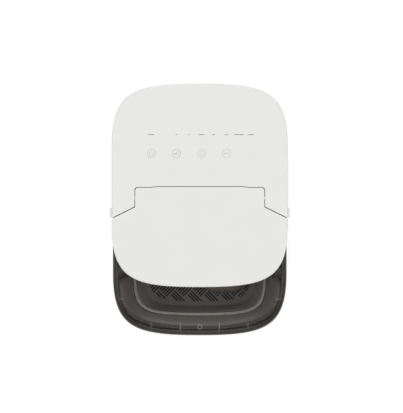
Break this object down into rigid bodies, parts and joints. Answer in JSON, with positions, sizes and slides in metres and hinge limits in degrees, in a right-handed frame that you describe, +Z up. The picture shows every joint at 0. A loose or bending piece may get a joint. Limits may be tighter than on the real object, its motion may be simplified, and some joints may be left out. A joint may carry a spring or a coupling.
{
  "type": "countertop ice maker",
  "caption": "White countertop ice maker with a hinged smoky lid over a slotted ice basket, touch keys on top and a tilting-tray ice mechanism inside.",
  "frame": {"origin": "on the surface it stands on, below the middle of the body", "axes": "+Z up; the front, with the lid's window, faces -Y; +X to the right seen from the front"},
  "size_m": [0.229, 0.32, 0.32],
  "materials": {
    "white_abs": "fine satin moulded ABS",
    "smoky_clear": "polished smoky clear moulding",
    "bezel_grey": "glossy moulded, brown-grey",
    "liner_grey": "satin moulded, dark grey",
    "basket_grey": "satin moulded, brown-grey",
    "scoop_grey": "smooth moulded",
    "dark_steel": "zinc plated",
    "pin_steel": "ground pin",
    "black_rubber": "moulded rubber",
    "base_black": "moulded",
    "foam": "expanded foam",
    "nickel": "nickel plated copper",
    "copper": "drawn copper tube",
    "brass": "machined",
    "white_pp": "moulded food-safe plastic",
    "clear_hose": "silicone hose",
    "black_enamel": "black enamel",
    "aluminium": "fin stock",
    "board_green": "solder mask",
    "black_abs": "moulded",
    "light_blue": "clear cast lens"
  },
  "bodies": {
    "body": {"base_plate": "base_black", "rubber_foot_front_left": "black_rubber", "rubber_foot_front_right": "black_rubber", "rubber_foot_rear_left": "black_rubber", "rubber_foot_rear_right": "black_rubber", "base_screws": "dark_steel", "outer_housing": "white_abs", "power_inlet": "black_abs", "rear_cover": "white_abs", "hinge_pin_left": "pin_steel", "hinge_pin_right": "pin_steel", "control_board": "board_green", "board_screws": "dark_steel", "touch_springs": "pin_steel", "indicator_lights": "light_blue", "power_board": "board_green", "bin_liner": "liner_grey", "bin_bezel": "bezel_grey", "insulation_jacket": "foam", "ice_maker_frame": "white_pp", "evaporator": "nickel", "tray_motor": "black_abs", "ice_full_sensors": "black_abs", "level_probe": "black_abs", "water_pump": "black_abs", "fill_hose": "clear_hose", "drain_pipe": "white_pp", "compressor": "black_enamel", "compressor_grommets": "black_rubber", "condenser_coil": "aluminium", "fan_motor": "dark_steel", "fan_shroud": "black_abs", "filter_drier": "copper", "hot_gas_valve": "brass", "valve_coil": "black_abs", "suction_line": "copper", "discharge_line": "copper", "liquid_line": "copper", "capillary_line": "copper", "hot_gas_line": "copper"},
    "lid": {"lid_panel": "white_abs", "lid_window": "smoky_clear", "lid_magnet": "dark_steel"},
    "basket": {"ice_basket": "basket_grey"},
    "scoop": {"ice_scoop": "scoop_grey"},
    "tray": {"water_tray": "white_pp"},
    "pusher": {"ice_pusher": "white_pp"},
    "fan": {"condenser_fan": "black_abs"},
    "impeller": {"pump_impeller": "white_pp"},
    "plug": {"drain_plug": "black_rubber"}
  },
  "joints": [
    {"name": "lid_hinge", "type": "hinge", "parent": "body", "child": "lid", "pos_m": [0, 0.0147, 0.316], "axis": [-1, 0, 0], "range_deg": [0, 88]},
    {"name": "basket_lift", "type": "slide", "parent": "body", "child": "basket", "axis": [0, 0, 1], "range_m": [0, 0.03]},
    {"name": "scoop_lift", "type": "slide", "parent": "basket", "child": "scoop", "axis": [0, 0, 1], "range_m": [0, 0.03]},
    {"name": "tray_tilt", "type": "hinge", "parent": "body", "child": "tray", "pos_m": [0, 0.02, 0.236], "axis": [1, 0, 0], "range_deg": [0, 85]},
    {"name": "pusher_swing", "type": "hinge", "parent": "body", "child": "pusher", "pos_m": [0, 0.02, 0.236], "axis": [1, 0, 0], "range_deg": [-85, 0]},
    {"name": "fan_spin", "type": "hinge", "parent": "body", "child": "fan", "pos_m": [0.057, 0.103, 0.075], "axis": [1, 0, 0], "continuous": true},
    {"name": "impeller_spin", "type": "hinge", "parent": "body", "child": "impeller", "pos_m": [0.04, -0.04, 0.048], "axis": [0, 0, 1], "continuous": true},
    {"name": "plug_pull", "type": "slide", "parent": "body", "child": "plug", "axis": [1, 0, 0], "range_m": [0, 0.02]}
  ],
  "couplings": [
    {"joint": "pusher_swing", "follows": "tray_tilt", "ratio": -1}
  ]
}
